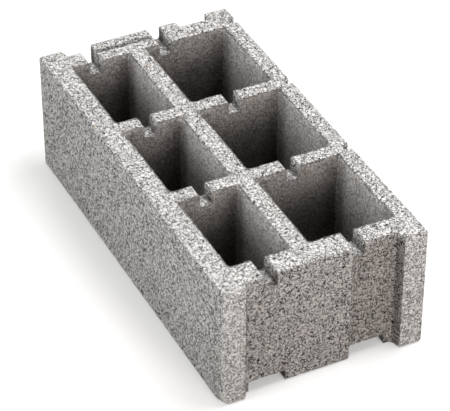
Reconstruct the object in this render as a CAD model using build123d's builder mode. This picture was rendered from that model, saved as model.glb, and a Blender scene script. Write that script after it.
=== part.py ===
import os

from build123d import *

# A hollow concrete formwork block, cast in one piece. Sizes are in mm.
# X runs across the width, Y along the length and Z up from the floor it rests on.

# Overall size
LENGTH = 600.0
WIDTH = 300.0
HEIGHT = 190.0

# Walls along the length, from the left face to the right face
LEFT_WALL = 35.0
LEFT_CELL = 85.0  # clear width of the narrow row of cells, the wide row takes the rest
MIDDLE_WALL = 30.0
RIGHT_WALL = 27.0

# Webs across the width, and the cells between them
END_WEB = 34.0
INNER_WEB = 28.0
CELLS_IN_ROW = 3
CELL_CORNER = 5.0
CELL_DRAFT = 0.6  # degrees, a cell narrows towards the floor so that its core draws out upwards

# Ears, the ends of the two outer walls that stand out past the end webs
EAR_REACH = 16.0
EAR_TIP = 35.0
EAR_BASE = 40.0
OUTER_CORNER = 3.0
EAR_CORNER = 2.0

ARRIS = 1.2  # bevel of the edges round the top and bottom faces

# Slots in the tops of the webs, where reinforcing bars lie
SLOT_WIDTH = 18.0
SLOT_DEPTH = 21.0
SLOT_MOUTH = 3.5  # rounding at the top edges
SLOT_FLOOR = 2.0  # rounding at the floor corners
LEFT_BARS = 75.0  # from the left face
RIGHT_BARS = 205.0
FAR_LEFT_BARS = 69.0  # the far web has its slots further left
FAR_RIGHT_BARS = 180.0

# Tongues, the proud parts of the end webs
NEAR_TONGUE = 6.0  # from the left ear to the right slot
FAR_TONGUE = 14.0  # from the left slot on
FAR_TONGUE_END = 218.0  # from the left face
TONGUE_SLANT = 2.0
TONGUE_CORNER = 2.0

# Score line across the top of the far tongue
SCORE_WIDTH = 4.5
SCORE_DEPTH = 6.0
SCORE_BACK = 8.0  # from the face of the end web

# Notches under the webs, where wet concrete flows from cell to cell
NOTCH_WIDTH = 53.0
NOTCH_HEIGHT = 17.0
NOTCH_CORNER = 3.0
LEFT_NOTCH = 71.5  # from the left face
RIGHT_NOTCH = 223.5

# Upright splitting grooves in the right face, one at each web but the near one
GROOVE_MOUTH = 12.0
GROOVE_FLOOR = 6.0
GROOVE_DEPTH = 10.0

PAST = 2.0  # how far a cut runs out past a face

# Places that follow from the sizes
left = -WIDTH / 2
right = WIDTH / 2
near = -LENGTH / 2
far = LENGTH / 2
near_web = near + EAR_REACH
far_web = far - EAR_REACH
right_cell = WIDTH - LEFT_WALL - LEFT_CELL - MIDDLE_WALL - RIGHT_WALL
cells_length = far_web - near_web - 2 * END_WEB
cell_length = (cells_length - (CELLS_IN_ROW - 1) * INNER_WEB) / CELLS_IN_ROW
cell_pitch = cell_length + INNER_WEB
last_cell = (CELLS_IN_ROW - 1) / 2 * cell_pitch
first_groove = near_web + END_WEB + cell_length + INNER_WEB / 2


# Corners of the plan, each with its rounding, along the near end and back along the far end
near_lip = near_web - NEAR_TONGUE
near_tongue_end = left + RIGHT_BARS - SLOT_WIDTH / 2
far_lip = far_web + FAR_TONGUE
far_tongue_start = left + FAR_LEFT_BARS + SLOT_WIDTH / 2
far_tongue_end = left + FAR_TONGUE_END
outline = [
    (left, near, OUTER_CORNER),
    (left + EAR_TIP, near, EAR_CORNER),
    (left + EAR_BASE, near_lip, EAR_CORNER),
    (near_tongue_end - TONGUE_SLANT, near_lip, TONGUE_CORNER),
    (near_tongue_end, near_web, 0),
    (right - EAR_BASE, near_web, EAR_CORNER),
    (right - EAR_TIP, near, EAR_CORNER),
    (right, near, OUTER_CORNER),
    (right, far, OUTER_CORNER),
    (right - EAR_TIP, far, EAR_CORNER),
    (right - EAR_BASE, far_web, EAR_CORNER),
    (far_tongue_end, far_web, 0),
    (far_tongue_end - TONGUE_SLANT, far_lip, TONGUE_CORNER),
    (far_tongue_start + TONGUE_SLANT, far_lip, TONGUE_CORNER),
    (far_tongue_start, far_web, 0),
    (left + EAR_BASE, far_web, EAR_CORNER),
    (left + EAR_TIP, far, EAR_CORNER),
    (left, far, OUTER_CORNER),
]

with BuildPart() as block:
    # The body, with the splitting grooves in its outline
    with BuildSketch():
        with BuildLine():
            FilletPolyline(
                [(x, y) for x, y, rounding in outline],
                radius=[rounding for x, y, rounding in outline],
                close=True,
            )
        make_face()
        for row in range(CELLS_IN_ROW):
            with Locations((right, first_groove + row * cell_pitch)):
                Polygon(
                    (PAST, -GROOVE_MOUTH / 2), (0, -GROOVE_MOUTH / 2), (-GROOVE_DEPTH, -GROOVE_FLOOR / 2),
                    (-GROOVE_DEPTH, GROOVE_FLOOR / 2), (0, GROOVE_MOUTH / 2), (PAST, GROOVE_MOUTH / 2),
                    align=None, mode=Mode.SUBTRACT,
                )
    extrude(amount=HEIGHT)

    # Two rows of cells right through it
    with BuildSketch(Plane.XY.offset(HEIGHT)):
        with Locations((left + LEFT_WALL + LEFT_CELL / 2, 0)):
            with GridLocations(0, cell_pitch, 1, CELLS_IN_ROW):
                RectangleRounded(LEFT_CELL, cell_length, CELL_CORNER)
        with Locations((right - RIGHT_WALL - right_cell / 2, 0)):
            with GridLocations(0, cell_pitch, 1, CELLS_IN_ROW):
                RectangleRounded(right_cell, cell_length, CELL_CORNER)
    extrude(amount=-HEIGHT, taper=CELL_DRAFT, mode=Mode.SUBTRACT)

    # Bevelled edges all round the top and bottom faces
    flat_faces = block.faces().filter_by(Plane.XY)
    chamfer(flat_faces.edges(), ARRIS)

    # Bar slots with rounded mouths, in line through all webs but the far one
    half = SLOT_WIDTH / 2
    lip = half + SLOT_MOUTH + PAST
    for across, start, end in (
        (LEFT_BARS, near - PAST, last_cell),
        (RIGHT_BARS, near - PAST, last_cell),
        (FAR_LEFT_BARS, last_cell, far + PAST),
        (FAR_RIGHT_BARS, last_cell, far + PAST),
    ):
        with BuildSketch(Plane((left + across, end, HEIGHT), (1, 0, 0), (0, -1, 0))):
            with BuildLine():
                FilletPolyline(
                    (-lip, PAST), (-lip, 0), (-half, 0), (-half, -SLOT_DEPTH),
                    (half, -SLOT_DEPTH), (half, 0), (lip, 0), (lip, PAST),
                    radius=[0, 0, SLOT_MOUTH, SLOT_FLOOR, SLOT_FLOOR, SLOT_MOUTH, 0, 0],
                    close=True,
                )
            make_face()
        extrude(amount=end - start, mode=Mode.SUBTRACT)

    # Flow notches, under all the webs
    with BuildSketch(Plane.XZ.offset(-far - PAST)):
        with Locations((left + LEFT_NOTCH, 0), (left + RIGHT_NOTCH, 0)):
            RectangleRounded(NOTCH_WIDTH, 2 * NOTCH_HEIGHT, NOTCH_CORNER)
    extrude(amount=LENGTH + 2 * PAST, mode=Mode.SUBTRACT)

    # Score line, from slot to slot
    with Locations((left + (FAR_LEFT_BARS + FAR_RIGHT_BARS) / 2, far_web - SCORE_BACK, HEIGHT)):
        Box(FAR_RIGHT_BARS - FAR_LEFT_BARS, SCORE_WIDTH, 2 * SCORE_DEPTH, mode=Mode.SUBTRACT)

block.part.label = "concrete_block"
os.makedirs("parts", exist_ok=True)
export_step(block.part, "parts/concrete_block.step")
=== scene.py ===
import math

import bmesh
import bpy
import numpy as np
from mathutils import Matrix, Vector
from mathutils.bvhtree import BVHTree
from mathutils.kdtree import KDTree


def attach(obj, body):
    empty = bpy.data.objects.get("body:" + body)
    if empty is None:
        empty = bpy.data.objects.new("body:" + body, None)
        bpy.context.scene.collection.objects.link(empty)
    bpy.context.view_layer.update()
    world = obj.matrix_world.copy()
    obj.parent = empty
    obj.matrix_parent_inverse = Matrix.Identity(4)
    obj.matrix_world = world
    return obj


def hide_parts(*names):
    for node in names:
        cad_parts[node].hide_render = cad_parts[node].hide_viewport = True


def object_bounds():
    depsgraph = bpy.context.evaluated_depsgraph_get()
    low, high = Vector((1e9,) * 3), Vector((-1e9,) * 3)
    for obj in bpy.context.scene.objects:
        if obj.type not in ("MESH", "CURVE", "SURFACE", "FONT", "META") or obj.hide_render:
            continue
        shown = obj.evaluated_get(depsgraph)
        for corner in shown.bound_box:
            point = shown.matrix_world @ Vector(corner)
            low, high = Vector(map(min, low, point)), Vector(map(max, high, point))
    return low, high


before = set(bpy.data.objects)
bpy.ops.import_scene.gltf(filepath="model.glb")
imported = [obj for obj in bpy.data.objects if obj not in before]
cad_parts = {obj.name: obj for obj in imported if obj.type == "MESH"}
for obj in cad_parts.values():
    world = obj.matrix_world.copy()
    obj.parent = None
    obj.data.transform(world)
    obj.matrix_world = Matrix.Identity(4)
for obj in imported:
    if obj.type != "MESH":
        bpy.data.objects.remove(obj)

cadBox = [list(corner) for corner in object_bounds()]
print("frame loaded, box", cadBox)


# small helpers for node trees

def addNode(tree, kind, x, y, **settings):
    node = tree.nodes.new(kind)
    node.location = (x, y)
    for name, value in settings.items():
        setattr(node, name, value)
    return node


def feed(tree, source, target):
    # a socket is linked, a plain value is set on the socket
    if isinstance(source, bpy.types.NodeSocket):
        tree.links.new(source, target)
    else:
        target.default_value = source


def mathNode(tree, operation, a, b=None, c=None, x=0, y=0):
    node = addNode(tree, "ShaderNodeMath", x, y, operation=operation)
    for socket, value in zip(node.inputs, (a, b, c)):
        if value is not None:
            feed(tree, value, socket)
    return node.outputs[0]


def rangeNode(tree, value, low, high, toLow=0.0, toHigh=1.0, x=0, y=0, smooth=True):
    kind = "SMOOTHSTEP" if smooth else "LINEAR"
    node = addNode(tree, "ShaderNodeMapRange", x, y, interpolation_type=kind)
    given = {"Value": value, "From Min": low, "From Max": high, "To Min": toLow, "To Max": toHigh}
    for name, source in given.items():
        feed(tree, source, node.inputs[name])
    return node.outputs["Result"]


def noiseNode(tree, place, size, detail=2.0, rough=0.5, x=0, y=0, output="Fac"):
    node = addNode(tree, "ShaderNodeTexNoise", x, y, noise_dimensions="3D")
    feed(tree, place, node.inputs["Vector"])
    node.inputs["Scale"].default_value = 1.0 / size
    node.inputs["Detail"].default_value = detail
    node.inputs["Roughness"].default_value = rough
    return node.outputs[output]


def voronoiNode(tree, place, size, feature="F1", x=0, y=0):
    node = addNode(tree, "ShaderNodeTexVoronoi", x, y, voronoi_dimensions="3D", feature=feature)
    feed(tree, place, node.inputs["Vector"])
    node.inputs["Scale"].default_value = 1.0 / size
    return node


def vectorMath(tree, operation, a, b, x=0, y=0):
    node = addNode(tree, "ShaderNodeVectorMath", x, y, operation=operation)
    feed(tree, a, node.inputs[0])
    feed(tree, b, node.inputs[3 if operation == "SCALE" else 1])
    return node.outputs["Value" if operation == "DOT_PRODUCT" else "Vector"]


def mixColour(tree, share, a, b, x=0, y=0, kind="MIX"):
    node = addNode(tree, "ShaderNodeMix", x, y, data_type="RGBA", blend_type=kind)
    feed(tree, share, node.inputs[0])
    for socket, value in ((node.inputs[6], a), (node.inputs[7], b)):
        feed(tree, (*value, 1.0) if isinstance(value, tuple) else value, socket)
    return node.outputs[2]


# the aggregate: large stones packed among small ones, one set of fields for the shape and the colour
aggregate = {
    "wander": 0.0007,             # how far a stone's outline strays, m
    "wanderSize": 0.0026,
    "largeStone": 0.0052,         # stones on the open top
    "smallStone": 0.0025,
    "largeShare": 0.40,
    "smallDome": 0.5,             # small stones are flatter
    "sideScale": 1.20,            # the mould works finer stones up against the upright faces
    "crack": (0.005, 0.12),       # half width of a crack between stones, as a share of their size
    "patchSize": 0.0034,          # cracks open and close from patch to patch
    "patchRange": (0.40, 0.66),
    "topPatch": 0.02,             # the top has more open cracks
    "voidTop": 0.70,              # distance from a stone's middle where a void between stones starts
    "voidSide": 0.68,
    "voidSpan": 0.12,
    "sand": 0.0015,               # grains of sand in the cement skin
}


def stoneField(tree, bent, size, patch, voidFrom, x, y):
    s = aggregate
    near = voronoiNode(tree, bent, size, "F1", x, y)
    joint = voronoiNode(tree, bent, size, "DISTANCE_TO_EDGE", x, y - 250).outputs["Distance"]
    width = rangeNode(tree, patch, *s["patchRange"], *s["crack"], x + 200, y - 500)
    crack = rangeNode(tree, joint, 0.0, width, 1.0, 0.0, x + 400, y - 250)
    out = mathNode(tree, "SUBTRACT", near.outputs["Distance"], voidFrom, x=x + 400, y=y)
    void = rangeNode(tree, out, 0.0, s["voidSpan"], 0.0, 1.0, x + 600, y)
    gap = mathNode(tree, "MAXIMUM", crack, void, x=x + 800, y=y - 250)
    own = addNode(tree, "ShaderNodeSeparateXYZ", x + 400, y + 400)
    feed(tree, near.outputs["Color"], own.inputs[0])
    dome = mathNode(tree, "POWER", near.outputs["Distance"], 2.0, x=x + 400, y=y + 200)
    return gap, dome, own.outputs


def mixValue(tree, share, a, b, x, y):
    node = addNode(tree, "ShaderNodeMix", x, y, data_type="FLOAT")
    for socket, value in zip((node.inputs[0], node.inputs[2], node.inputs[3]), (share, a, b)):
        feed(tree, value, socket)
    return node.outputs[0]


def grainFields(tree, place, openness, x=0, y=0):
    s = aggregate
    stray = noiseNode(tree, place, s["wanderSize"], 1.0, 0.5, x, y, "Color")
    stray = vectorMath(tree, "SUBTRACT", stray, (0.5, 0.5, 0.5), x + 200, y)
    stray = vectorMath(tree, "SCALE", stray, s["wander"] * 2, x + 400, y)
    bent = vectorMath(tree, "ADD", place, stray, x + 600, y)
    scale = mixValue(tree, openness, s["sideScale"], 1.0, x + 400, y + 200)
    bent = vectorMath(tree, "SCALE", bent, scale, x + 700, y)
    patch = noiseNode(tree, place, s["patchSize"], 1.0, 0.5, x + 600, y + 300)
    patch = mathNode(tree, "MULTIPLY_ADD", openness, s["topPatch"], patch, x=x + 800, y=y + 300)
    voidFrom = mixValue(tree, openness, s["voidSide"], s["voidTop"], x + 600, y - 400)
    shared = patch, voidFrom, x + 900
    gapLarge, domeLarge, large = stoneField(tree, bent, s["largeStone"], *shared, y)
    gapSmall, domeSmall, small = stoneField(tree, bent, s["smallStone"], *shared, y - 900)
    isLarge = mathNode(tree, "LESS_THAN", large[0], s["largeShare"], x=x + 1500, y=y + 400)
    domeSmall = mathNode(tree, "MULTIPLY", domeSmall, s["smallDome"], x=x + 1600, y=y - 900)
    return {
        "gap": mixValue(tree, isLarge, gapSmall, gapLarge, x + 1800, y),
        "dome": mixValue(tree, isLarge, domeSmall, domeLarge, x + 1800, y - 300),
        "tone": mixValue(tree, isLarge, small[1], large[1], x + 1800, y + 300),
        "loss": mixValue(tree, isLarge, small[2], large[2], x + 1800, y - 600),
        "hue": large[0], "large": isLarge,
    }


# the block: a copy of the casting, broken up into stones
block = {
    "weld": 1e-6,           # points nearer than this are one, m
    "voxel": 0.0016,        # size of the first even mesh
    "triangles": 196000,
    "dome": 0.0011,         # how far a stone rounds off towards its edge
    "gap": 0.0005,
    "unevenness": 0.0007,
    "unevenSize": 0.012,
    "openTurn": (0.42, 0.66),  # how far up a face points before it is open top
    "crumbs": 0.0024,       # how much has crumbled off the arrises
    "arrisRound": 0.40,     # and the share of that which every stone there has lost
    "arrisReach": 0.0035,   # how far in from an arris stones are lost
    "lossRange": (0.50, 0.70),
    "arrisTurn": 10.0,      # degrees between two faces that make an arris
    "arrisStep": 0.0015,
    "along": 0.7,           # an edge or a normal with this share of an axis lies along it
    "uprightLoss": 0.45,    # the mould keeps upright arrises tidier
    "scoreFrom": 0.268,     # the tongue past here keeps its edges
    "keptLoss": 0.3,        # what such a place and a slot still lose
    "sideShare": 0.55,      # the mould presses the upright faces smoother
    "hiddenShare": 0.12,    # and the cells and the underside smoother still
    "earSmear": 0.6,        # the tips of the ears are between the two
    "tipDepth": 0.0025,
    "sharpTurn": 38.0,      # degrees from which an edge is shaded sharp
    # worn lower corner
    "chip": [(-0.150, -0.300, 0.012), (-0.150, -0.276, 0.0), (-0.140, -0.300, 0.0)],
}

# where the cells and the end recesses are, and how much painted shade they get
hollows = {
    "columns": [(-0.115, -0.030), (0.000, 0.123)],
    "rows": [(-0.250, -0.102), (-0.074, 0.074), (0.102, 0.250)],
    "rowPitch": 0.176,
    "rowHalf": 0.074,
    "margin": 0.0030,
    "earTip": 0.300,
    "endDepth": 0.020,
    "betweenEars": 0.1125,
    "innerEar": 0.1154,
    "topMargin": 0.003,
    "setBack": (0.001, 0.016),
    "earShade": 0.10,       # added on the inner sides of the ears
    "voxel": 0.005,
    "rays": 36,
    "rayStart": 0.002,
    "nearest": 4,           # coarse places that share out their shade, by distance
    "nearestBlend": 0.001,
    "reach": 0.05,          # how near a wall has to be to shade a place, m
    "facing": 0.6,
    "acrossShade": 0.27,    # a wall that faces across the block gathers less shade
    "alongShade": 1.05,     # than one that faces along it
    "footShade": 1.7,       # shade also lessens towards the foot of a cell
    "cornerReach": 0.036,
    "cornerShade": 2.6,
    "slots": [-0.075, 0.055, -0.081, 0.030],  # these stay light
    "slotHalf": 0.0130,
    "slotFloor": 0.166,
    "slotShade": 0.25,
}


def castCopy(node, name):
    mesh = node.data.copy()
    mesh.materials.clear()
    bm = bmesh.new()
    bm.from_mesh(mesh)
    bmesh.ops.remove_doubles(bm, verts=bm.verts[:], dist=block["weld"])
    bm.to_mesh(mesh)
    bm.free()
    piece = bpy.data.objects.new(name, mesh)
    bpy.context.scene.collection.objects.link(piece)
    return piece


def settle(piece):
    # modifiers become the mesh itself
    bpy.context.view_layer.update()
    shaped = piece.evaluated_get(bpy.context.evaluated_depsgraph_get())
    mesh = bpy.data.meshes.new_from_object(shaped)
    piece.modifiers.clear()
    old = piece.data
    piece.data = mesh
    bpy.data.meshes.remove(old)
    return mesh


def evenMesh(piece, size):
    even = piece.modifiers.new("evenMesh", "REMESH")
    even.mode = "VOXEL"
    even.voxel_size = size
    return settle(piece)


def readPlaces(mesh, what="co"):
    values = np.empty(len(mesh.vertices) * 3)
    mesh.vertices.foreach_get(what, values)
    return values.reshape(-1, 3)


def writePlaces(mesh, places):
    mesh.vertices.foreach_set("co", places.ravel())
    mesh.update()


def writeValues(mesh, name, values):
    layer = mesh.attributes.new(name, "FLOAT", "POINT")
    layer.data.foreach_set("value", np.asarray(values, dtype=np.float32))


def inCells(places):
    m = hollows["margin"]
    across, along = (np.zeros(len(places), bool) for i in range(2))
    for low, high in hollows["columns"]:
        across |= (places[:, 0] > low - m) & (places[:, 0] < high + m)
    for low, high in hollows["rows"]:
        along |= (places[:, 1] > low - m) & (places[:, 1] < high + m)
    return across & along


def inSlots(places):
    near = np.zeros(len(places), bool)
    for across in hollows["slots"]:
        near |= np.abs(places[:, 0] - across) < hollows["slotHalf"]
    return near & (places[:, 2] > hollows["slotFloor"])


def nearArris(node, places):
    # 1 on an outer edge of the plain casting, down to 0 a few millimetres from it
    bm = bmesh.new()
    bm.from_mesh(node.data)
    bmesh.ops.remove_doubles(bm, verts=bm.verts[:], dist=block["weld"])
    points, share = [], []
    turn = math.radians(block["arrisTurn"])
    for edge in bm.edges:
        if len(edge.link_faces) == 2 and edge.calc_face_angle_signed() > turn:
            a, b = (v.co for v in edge.verts)
            steps = max(1, math.ceil((b - a).length / block["arrisStep"]))
            points += [a.lerp(b, i / steps) for i in range(steps + 1)]
            upright = abs(b.z - a.z) > block["along"] * (b - a).length
            share += [block["uprightLoss"] if upright else 1.0] * (steps + 1)
    bm.free()
    finder = KDTree(len(points))
    for i, p in enumerate(points):
        finder.insert(p, i)
    finder.balance()
    found = [finder.find(p)[1:] for p in places]
    reach = block["arrisReach"]
    near = np.array([max(0.0, 1 - distance / reach) * share[i] for i, distance in found])
    kept = inSlots(places) | (places[:, 1] > block["scoreFrom"])
    return np.where(kept, block["keptLoss"], 1.0) * near


def shadedPlaces(node):
    # how far each place of the plain casting is shut in by walls round it
    plain = castCopy(node, "plainCast")
    mesh = evenMesh(plain, hollows["voxel"])
    places, normals = readPlaces(mesh), readPlaces(mesh, "normal")
    faces = [tuple(p.vertices) for p in mesh.polygons]
    walls = BVHTree.FromPolygons([Vector(p) for p in places], faces)
    count = hollows["rays"]
    turn = np.arange(count) * math.pi * (3 - math.sqrt(5))
    height = np.sqrt(1 - (np.arange(count) + 0.5) / count)
    flat = np.sqrt(1 - height ** 2)
    rays = np.stack([flat * np.cos(turn), flat * np.sin(turn), height], 1)
    level = np.abs(normals[:, 2:]) < 0.9
    side = np.cross(normals, np.where(level, [[0.0, 0.0, 1.0]], [[1.0, 0.0, 0.0]]))
    side /= np.linalg.norm(side, axis=1)[:, None]
    other = np.cross(normals, side)
    shut = np.zeros(len(places))
    for i in range(len(places)):
        ways = rays @ np.array([side[i], other[i], normals[i]])
        start = Vector(places[i] + normals[i] * hollows["rayStart"])
        for way in ways:
            distance = walls.ray_cast(start, Vector(way), hollows["reach"])[3]
            if distance is not None:
                shut[i] += 1 - distance / hollows["reach"]
    bpy.data.objects.remove(plain)
    return places, shut / count


def reliefTree():
    tree = bpy.data.node_groups.new("stoneRelief", "GeometryNodeTree")
    tree.interface.new_socket("Geometry", in_out="INPUT", socket_type="NodeSocketGeometry")
    tree.interface.new_socket("Geometry", in_out="OUTPUT", socket_type="NodeSocketGeometry")
    start = addNode(tree, "NodeGroupInput", -600, 0)
    end = addNode(tree, "NodeGroupOutput", 3600, 0)
    place = addNode(tree, "GeometryNodeInputPosition", -600, -200).outputs[0]
    normal = addNode(tree, "GeometryNodeInputNormal", -600, -400).outputs[0]
    up = vectorMath(tree, "DOT_PRODUCT", normal, (0.0, 0.0, 1.0), -400, -400)
    openness = rangeNode(tree, up, *block["openTurn"], 0.0, 1.0, -200, -400)
    f = grainFields(tree, place, openness, 0, -300)
    hidden = addNode(tree, "GeometryNodeInputNamedAttribute", 2000, 600, data_type="FLOAT")
    hidden.inputs["Name"].default_value = "hidden"
    shares = block["sideShare"], block["hiddenShare"]
    wall = mixValue(tree, hidden.outputs[0], *shares, 2200, 600)
    share = mixValue(tree, openness, wall, 1.0, 2400, 600)
    deep = mathNode(tree, "MULTIPLY", f["dome"], block["dome"], x=2000, y=0)
    deep = mathNode(tree, "MULTIPLY_ADD", f["gap"], block["gap"], deep, x=2200, y=0)
    broad = noiseNode(tree, place, block["unevenSize"], 2.0, 0.5, 2400, -300)
    deep = mathNode(tree, "MULTIPLY_ADD", broad, block["unevenness"], deep, x=2600, y=0)
    deep = mathNode(tree, "MULTIPLY", deep, share, x=2800, y=0)
    # stones are worn along the arrises, and some are lost
    arris = addNode(tree, "GeometryNodeInputNamedAttribute", 2200, -600, data_type="FLOAT")
    arris.inputs["Name"].default_value = "arris"
    crumbs = rangeNode(tree, f["loss"], *block["lossRange"], block["arrisRound"], 1.0, 2400, -800)
    lost = mathNode(tree, "MULTIPLY", arris.outputs[0], crumbs, x=2600, y=-600)
    deep = mathNode(tree, "MULTIPLY_ADD", lost, block["crumbs"], deep, x=2900, y=0)
    inward = mathNode(tree, "MULTIPLY", deep, -1.0, x=3000, y=0)
    shift = vectorMath(tree, "SCALE", normal, inward, 3200, -200)
    geometry = start.outputs[0]
    kept = (("castPlace", place, "FLOAT_VECTOR"), ("openness", openness, "FLOAT"))
    for name, value, kind in kept:
        keep = addNode(tree, "GeometryNodeStoreNamedAttribute", 3000, 300, data_type=kind)
        keep.domain = "POINT"
        keep.inputs["Name"].default_value = name
        feed(tree, geometry, keep.inputs["Geometry"])
        feed(tree, value, keep.inputs["Value"])
        geometry = keep.outputs[0]
    move = addNode(tree, "GeometryNodeSetPosition", 3400, 0)
    feed(tree, geometry, move.inputs["Geometry"])
    feed(tree, shift, move.inputs["Offset"])
    feed(tree, move.outputs[0], end.inputs[0])
    return tree


def wearCorner(mesh):
    a, b, c = (np.array(p) for p in block["chip"])
    out = np.cross(b - a, c - a)
    out *= np.sign(-out[2]) / np.linalg.norm(out)
    places = readPlaces(mesh)
    past = np.clip((places - a) @ out, 0, None)
    writePlaces(mesh, places - past[:, None] * out)


def makeBlock():
    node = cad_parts["concrete_block"]
    piece = castCopy(node, "concreteBlock")
    mesh = evenMesh(piece, block["voxel"])
    print("even mesh", len(mesh.polygons), "faces")
    wearCorner(mesh)
    places, normals = readPlaces(mesh), readPlaces(mesh, "normal")
    along = block["along"]
    hidden = (inCells(places) & (np.abs(normals[:, 2]) < along)) | (normals[:, 2] < -along)
    ears = np.abs(places[:, 1]) > hollows["earTip"] - block["tipDepth"]
    ears &= np.abs(normals[:, 1]) > along
    writeValues(mesh, "hidden", np.where(ears, block["earSmear"], hidden))
    writeValues(mesh, "arris", nearArris(node, places))
    relief = piece.modifiers.new("stoneRelief", "NODES")
    relief.node_group = reliefTree()
    mesh = settle(piece)
    triangles = sum(len(p.vertices) - 2 for p in mesh.polygons)
    thin = piece.modifiers.new("thin", "DECIMATE")  # flat walls lose the most, stones the least
    thin.ratio = block["triangles"] / triangles
    mesh = settle(piece)
    # the stones stay inside the casting's own size
    places = np.clip(readPlaces(mesh), cadBox[0], cadBox[1])
    writePlaces(mesh, places)
    # painted shade where walls close in, measured on a coarse copy and shared out
    coarsePlaces, shut = shadedPlaces(node)
    finder = KDTree(len(coarsePlaces))
    for i, p in enumerate(coarsePlaces):
        finder.insert(p, i)
    finder.balance()
    shade = np.empty(len(places))
    for i, p in enumerate(places):
        found = finder.find_n(p, hollows["nearest"])
        weights = [1 / (hollows["nearestBlend"] + distance) for q, j, distance in found]
        shade[i] = sum(w * shut[j] for w, (q, j, distance) in zip(weights, found)) / sum(weights)
    shade[inSlots(places)] *= hollows["slotShade"]
    # how much painted shade each cell wall takes, by the way it faces
    across = np.abs(readPlaces(mesh, "normal")[:, 0]) > hollows["facing"]
    side = np.where(across, hollows["acrossShade"], hollows["alongShade"])
    writeValues(mesh, "cellShade", np.where(inCells(places), side, 0.0))
    # how far the end webs are set back, for the painted shade there
    back = hollows["earTip"] - np.abs(places[:, 1])
    between = np.abs(places[:, 0]) < np.where(across, hollows["innerEar"], hollows["betweenEars"])
    under = places[:, 2] < cadBox[1][2] - hollows["topMargin"]
    ends = (back < hollows["endDepth"]) & between & under
    back = np.where(across, hollows["setBack"][1], back)
    writeValues(mesh, "setBack", np.where(ends, back, 0.0))
    # more painted shade on the inner sides of the ears
    shade[ends & across] += hollows["earShade"]
    writeValues(mesh, "shutIn", shade)
    mesh.shade_smooth()
    mesh.set_sharp_from_angle(angle=math.radians(block["sharpTurn"]))
    count = sum(len(p.vertices) - 2 for p in mesh.polygons)
    print("block mesh", len(mesh.vertices), "points,", count, "triangles")
    return piece


# the concrete itself
concrete = {
    "pale": (0.88, 0.865, 0.855),    # cement skin on a stone
    "dull": (0.40, 0.385, 0.375),
    "gap": (0.045, 0.041, 0.038),
    "warm": (0.60, 0.40, 0.23),      # a few tan stones
    "low": (0.84, 0.83, 0.82),       # painted shade, darker towards the floor
    "shade": (0.30, 0.27, 0.25),     # where walls close in
    "web": (0.57, 0.545, 0.53),      # painted shade on the end webs, set back between the ears
    # painted shade on every wall of a cell
    "cellWallShade": (0.48, 0.462, 0.45),
    "deep": (0.26, 0.237, 0.228),    # and more painted shade down in the cells
    "deepAt": 0.11,
    "floorShadeFrom": 0.17,
    "shutIn": (0.04, 0.34),
    # pairs are for the upright faces and the open top, or for small and large stones
    "sandShade": (0.55, 0.45),
    "calm": (1.25, 0.40),            # a large stone is plainer than the sand round it
    "least": (0.55, 0.64),
    "toneShade": 0.22,
    "cloudSize": 0.05,
    "cloudShade": 0.15,
    # painted shade towards the edge of each stone
    "domeShade": -0.35,
    "warmShare": 0.003,
    "warmth": 0.45,
    "poreShare": (0.27, 0.08),
    "poreDark": (1.0, 0.75),
    "smear": -0.4,
    "beadHeight": -0.35,
    "domeHeight": (-0.8, -1.6),
    "roughness": 0.93,
    "specular": 0.25,
    "bump": 0.0010,
}


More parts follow.
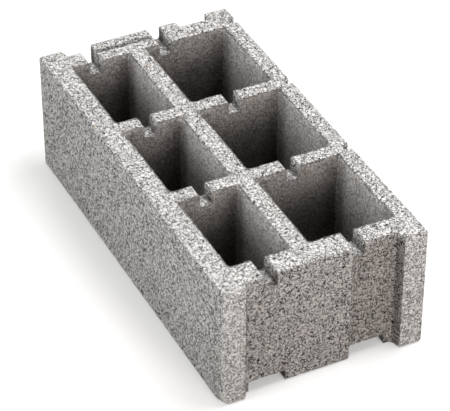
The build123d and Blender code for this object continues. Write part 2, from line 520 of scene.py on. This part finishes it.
def aggregateGroup():
    tree = bpy.data.node_groups.new("openAggregate", "ShaderNodeTree")
    tree.interface.new_socket("Place", in_out="INPUT", socket_type="NodeSocketVector")
    tree.interface.new_socket("Openness", in_out="INPUT", socket_type="NodeSocketFloat")
    tree.interface.new_socket("Smeared", in_out="INPUT", socket_type="NodeSocketFloat")
    for name, kind in (("Colour", "NodeSocketColor"), ("Height", "NodeSocketFloat")):
        tree.interface.new_socket(name, in_out="OUTPUT", socket_type=kind)
    start = addNode(tree, "NodeGroupInput", -700, 0)
    end = addNode(tree, "NodeGroupOutput", 3600, 0)
    place, openness = start.outputs["Place"], start.outputs["Openness"]
    c, f = concrete, grainFields(tree, place, openness, -400, -300)
    sand = voronoiNode(tree, place, aggregate["sand"], "F1", 1400, 800)
    grain = addNode(tree, "ShaderNodeSeparateXYZ", 1600, 800)
    feed(tree, sand.outputs["Color"], grain.inputs[0])
    cloud = noiseNode(tree, place, c["cloudSize"], 3.0, 0.55, 1600, 1000)
    fine = mixValue(tree, openness, *c["sandShade"], 1500, 600)
    calm = mixValue(tree, f["large"], *c["calm"], 1500, 500)
    fine = mathNode(tree, "MULTIPLY", fine, calm, x=1650, y=600)
    least = mixValue(tree, openness, *c["least"], 1600, 400)
    shade = mathNode(tree, "SUBTRACT", grain.outputs[0], 0.5, x=1800, y=800)
    shade = mathNode(tree, "MULTIPLY_ADD", shade, fine, least, x=1900, y=800)
    shade = mathNode(tree, "MULTIPLY_ADD", f["tone"], c["toneShade"], shade, x=2000, y=800)
    shade = mathNode(tree, "MULTIPLY_ADD", cloud, c["cloudShade"], shade, x=2100, y=800)
    # painted shade: each stone darker towards its edge
    shade = mathNode(tree, "MULTIPLY_ADD", f["dome"], c["domeShade"], shade, x=2150, y=800)
    shade = rangeNode(tree, shade, 0.0, 1.0, 0.0, 1.0, 2200, 800, smooth=False)
    colour = mixColour(tree, shade, c["dull"], c["pale"], 2400, 600)
    tan = mathNode(tree, "LESS_THAN", f["hue"], c["warmShare"], x=2200, y=400)
    tan = mathNode(tree, "MULTIPLY", tan, c["warmth"], x=2300, y=400)
    colour = mixColour(tree, tan, colour, c["warm"], 2600, 600)
    rare = mixValue(tree, f["large"], *c["poreShare"], 1800, 0)
    pore = mathNode(tree, "LESS_THAN", grain.outputs[1], rare, x=2000, y=200)
    most = mixValue(tree, openness, *c["poreDark"], 2000, 0)
    pore = mathNode(tree, "MULTIPLY", pore, most, x=2200, y=200)
    gap = mathNode(tree, "MAXIMUM", f["gap"], pore, x=2400, y=0)
    clean = mathNode(tree, "MULTIPLY_ADD", start.outputs["Smeared"], c["smear"], 1.0, x=2400, y=200)
    gap = mathNode(tree, "MULTIPLY", gap, clean, x=2500, y=0)
    colour = mixColour(tree, gap, colour, c["gap"], 2800, 400)
    low = mathNode(tree, "MULTIPLY_ADD", gap, -1.0, 1.0, x=2600, y=-200)
    bead = mathNode(tree, "POWER", sand.outputs["Distance"], 2.0, x=2600, y=-400)
    height = mathNode(tree, "MULTIPLY_ADD", bead, c["beadHeight"], low, x=2800, y=-200)
    dip = mixValue(tree, openness, *c["domeHeight"], 2800, -400)
    height = mathNode(tree, "MULTIPLY_ADD", f["dome"], dip, height, x=3000, y=-200)
    feed(tree, colour, end.inputs["Colour"])
    feed(tree, height, end.inputs["Height"])
    return tree


def concreteMaterial():
    material = bpy.data.materials.new("openConcrete")
    material.use_nodes = True
    tree = material.node_tree
    tree.nodes.clear()
    out = addNode(tree, "ShaderNodeOutputMaterial", 1300, 0)
    skin = addNode(tree, "ShaderNodeBsdfPrincipled", 1000, 0)
    values = {}
    names = ("castPlace", "openness", "hidden", "shutIn", "setBack", "cellShade")
    for i, name in enumerate(names):
        values[name] = addNode(tree, "ShaderNodeAttribute", -900, -200 * i, attribute_name=name)
    place = values["castPlace"].outputs["Vector"]
    grains = addNode(tree, "ShaderNodeGroup", -300, 0)
    grains.node_tree = aggregateGroup()
    feed(tree, place, grains.inputs["Place"])
    feed(tree, values["openness"].outputs["Fac"], grains.inputs["Openness"])
    feed(tree, values["hidden"].outputs["Fac"], grains.inputs["Smeared"])
    # depth in a cell, from its top or its foot, for the painted shade there
    parts = addNode(tree, "ShaderNodeSeparateXYZ", -900, 700)
    feed(tree, place, parts.inputs[0])
    height = parts.outputs["Z"]
    under = mathNode(tree, "SUBTRACT", cadBox[1][2], height, x=-500, y=800)
    over = mathNode(tree, "MULTIPLY", height, hollows["footShade"], x=-500, y=600)
    depth = mathNode(tree, "MINIMUM", under, over, x=-300, y=700)
    # the corners of a cell gather shade on both walls
    along, pitch, half = parts.outputs["Y"], hollows["rowPitch"], hollows["rowHalf"]
    row = mathNode(tree, "DIVIDE", along, pitch, x=-700, y=1000)
    row = mathNode(tree, "ROUND", row, x=-550, y=1000)
    off = mathNode(tree, "MULTIPLY_ADD", row, -pitch, along, x=-400, y=1000)
    off = mathNode(tree, "ABSOLUTE", off, x=-250, y=1000)
    start = half - hollows["cornerReach"]
    corner = rangeNode(tree, off, start, half, 1.0, hollows["cornerShade"], -100, 1000)
    side = mathNode(tree, "MULTIPLY", values["cellShade"].outputs["Fac"], corner, x=50, y=1000)
    side = mathNode(tree, "MINIMUM", side, hollows["alongShade"], x=200, y=1000)
    depth = mathNode(tree, "MULTIPLY", depth, side, x=-100, y=700)
    colour = grains.outputs["Colour"]
    # painted shade multiplied in: towards the floor, where walls close in, on the end webs, on the
    # cell walls and down in the cells
    for i, (value, low, high, tint) in enumerate((
        (height, concrete["floorShadeFrom"], 0.0, "low"),
        (values["shutIn"].outputs["Fac"], *concrete["shutIn"], "shade"),
        (values["setBack"].outputs["Fac"], *hollows["setBack"], "web"),
        (side, 0.0, hollows["alongShade"], "cellWallShade"),
        (depth, 0.0, concrete["deepAt"], "deep"),
    )):
        share = rangeNode(tree, value, low, high, 0.0, 1.0, 200 * i, 500, smooth=False)
        left = mixColour(tree, share, (1.0, 1.0, 1.0), concrete[tint], 200 * i, 300)
        colour = mixColour(tree, 1.0, colour, left, 200 * i + 100, 100, "MULTIPLY")
    feed(tree, colour, skin.inputs["Base Color"])
    skin.inputs["Roughness"].default_value = concrete["roughness"]
    skin.inputs["Specular IOR Level"].default_value = concrete["specular"]
    bump = addNode(tree, "ShaderNodeBump", 700, -300)
    bump.inputs["Strength"].default_value = 1.0
    bump.inputs["Distance"].default_value = concrete["bump"]
    feed(tree, grains.outputs["Height"], bump.inputs["Height"])
    feed(tree, bump.outputs[0], skin.inputs["Normal"])
    feed(tree, skin.outputs[0], out.inputs[0])
    return material


piece = makeBlock()
piece.data.materials.append(concreteMaterial())
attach(piece, "root")
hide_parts("concrete_block")
print("block finished")


# floor, light and camera
stage = {
    "floorHalf": 8.0,
    "floorBounce": 0.22,
    "floorShown": 0.72,      # how much of the shadow shows
    "floorGlow": 0.28,
    "farFloor": (1.2, 2.1),  # the floor turns plain white between these distances, m
    "underHalf": (0.126, 0.255),  # no glow at the foot of the cells
    "sky": 0.42,
    "lamps": [
        # name, place, aim, size, power, colour
        ("softbox", (0.85, -0.40, 3.4), (0.0, 0.0, 0.1), 1.5, 58.0, (1.0, 1.0, 1.0)),
        ("leftFill", (-2.2, -0.25, 1.0), (0.0, 0.0, 0.1), 1.8, 27.0, (1.0, 0.99, 0.98)),
        ("frontFill", (0.2, -2.6, 0.8), (0.0, 0.0, 0.1), 0.9, 37.0, (1.0, 0.95, 0.90)),
        ("rightFill", (2.2, 0.5, 0.6), (0.0, 0.0, 0.1), 1.4, 22.0, (1.0, 0.99, 0.98)),
        ("backFill", (0.3, 2.6, 0.6), (0.0, 0.0, 0.1), 1.2, 24.0, (1.0, 0.98, 0.96)),
    ],
    "camera": (-1.110, -2.262, 2.005),
    "azimuth": -26.18,
    "elevation": 37.45,
    "lens": 181.4,
}


def seenDirectly(tree, x, y):
    # by the camera, in a reflection or through glass
    path = addNode(tree, "ShaderNodeLightPath", x, y)
    kinds = ("Camera", "Glossy", "Transmission")
    camera, glossy, through = (path.outputs[f"Is {kind} Ray"] for kind in kinds)
    seen = mathNode(tree, "MAXIMUM", camera, glossy, x=x + 200, y=y)
    return mathNode(tree, "MAXIMUM", seen, through, x=x + 400, y=y)


def makeFloor():
    bm = bmesh.new()
    bmesh.ops.create_grid(bm, x_segments=1, y_segments=1, size=stage["floorHalf"])
    mesh = bpy.data.meshes.new("floor")
    bm.to_mesh(mesh)
    bm.free()
    floor = bpy.data.objects.new("floor", mesh)
    bpy.context.scene.collection.objects.link(floor)
    material = bpy.data.materials.new("paleFloor")
    material.use_nodes = True
    tree = material.node_tree
    tree.nodes.clear()
    out = addNode(tree, "ShaderNodeOutputMaterial", 800, 0)
    bounce = addNode(tree, "ShaderNodeBsdfDiffuse", 0, 200)
    bounce.inputs["Color"].default_value = (*[stage["floorBounce"]] * 3, 1)
    shown = addNode(tree, "ShaderNodeBsdfDiffuse", 0, 0)
    shown.inputs["Color"].default_value = (*[stage["floorShown"]] * 3, 1)
    glow = addNode(tree, "ShaderNodeEmission", 0, -200)
    seen = addNode(tree, "ShaderNodeAddShader", 200, 0)
    feed(tree, shown.outputs[0], seen.inputs[0])
    feed(tree, glow.outputs[0], seen.inputs[1])
    spot = addNode(tree, "ShaderNodeTexCoord", -800, -400)
    spot = spot.outputs["Object"]
    away = vectorMath(tree, "DOT_PRODUCT", spot, spot, -600, -200)
    near, far = (distance ** 2 for distance in stage["farFloor"])
    away = rangeNode(tree, away, near, far, stage["floorGlow"], 1.0, -400, -200)
    feed(tree, away, glow.inputs["Strength"])
    parts = addNode(tree, "ShaderNodeSeparateXYZ", -600, -400)
    feed(tree, spot, parts.inputs[0])
    under = 1.0
    for i, (way, half) in enumerate(zip(("X", "Y"), stage["underHalf"])):
        off = mathNode(tree, "ABSOLUTE", parts.outputs[way], x=-400, y=-400 - 200 * i)
        inside = mathNode(tree, "LESS_THAN", off, half, x=-200, y=-400 - 200 * i)
        under = mathNode(tree, "MULTIPLY", inside, under, x=0, y=-400 - 200 * i)
    shaded = addNode(tree, "ShaderNodeMixShader", 350, 0)
    feed(tree, under, shaded.inputs[0])
    feed(tree, seen.outputs[0], shaded.inputs[1])
    feed(tree, shown.outputs[0], shaded.inputs[2])
    pick = addNode(tree, "ShaderNodeMixShader", 500, 0)
    feed(tree, seenDirectly(tree, 0, 400), pick.inputs[0])
    feed(tree, bounce.outputs[0], pick.inputs[1])
    feed(tree, shaded.outputs[0], pick.inputs[2])
    feed(tree, pick.outputs[0], out.inputs[0])
    mesh.materials.append(material)


def makeLight():
    world = bpy.data.worlds.new("sky")
    bpy.context.scene.world = world
    world.use_nodes = True
    tree = world.node_tree
    tree.nodes.clear()
    out = addNode(tree, "ShaderNodeOutputWorld", 600, 0)
    light = addNode(tree, "ShaderNodeBackground", 0, 100)
    light.inputs["Color"].default_value = (1.0, 1.0, 1.0, 1)
    light.inputs["Strength"].default_value = stage["sky"]
    white = addNode(tree, "ShaderNodeBackground", 0, -100)
    white.inputs["Color"].default_value = (1.0, 1.0, 1.0, 1)
    white.inputs["Strength"].default_value = 1.0
    pick = addNode(tree, "ShaderNodeMixShader", 300, 0)
    feed(tree, seenDirectly(tree, 0, 400), pick.inputs[0])
    feed(tree, light.outputs[0], pick.inputs[1])
    feed(tree, white.outputs[0], pick.inputs[2])
    feed(tree, pick.outputs[0], out.inputs[0])
    for name, place, aim, size, power, colour in stage["lamps"]:
        lamp = bpy.data.lights.new(name, "AREA")
        lamp.shape = "DISK"
        lamp.size = size
        lamp.energy = power
        lamp.color = colour
        holder = bpy.data.objects.new(name, lamp)
        holder.location = place
        holder.rotation_mode = "QUATERNION"
        holder.rotation_quaternion = (Vector(aim) - Vector(place)).to_track_quat("-Z", "Y")
        bpy.context.scene.collection.objects.link(holder)


def makeCamera():
    lens = bpy.data.cameras.new("camera")
    lens.sensor_fit = "HORIZONTAL"
    lens.sensor_width = 36.0
    lens.lens = stage["lens"]
    lens.clip_end = 50.0
    camera = bpy.data.objects.new("camera", lens)
    a, e = math.radians(stage["azimuth"]), math.radians(stage["elevation"])
    back = Vector((math.sin(a) * math.cos(e), -math.cos(a) * math.cos(e), math.sin(e)))
    camera.location = stage["camera"]
    camera.rotation_mode = "QUATERNION"
    camera.rotation_quaternion = (-back).to_track_quat("-Z", "Y")
    bpy.context.scene.collection.objects.link(camera)
    bpy.context.scene.camera = camera


makeFloor()
makeLight()
makeCamera()
bpy.context.scene.view_settings.view_transform = "Standard"
print("stage ready")
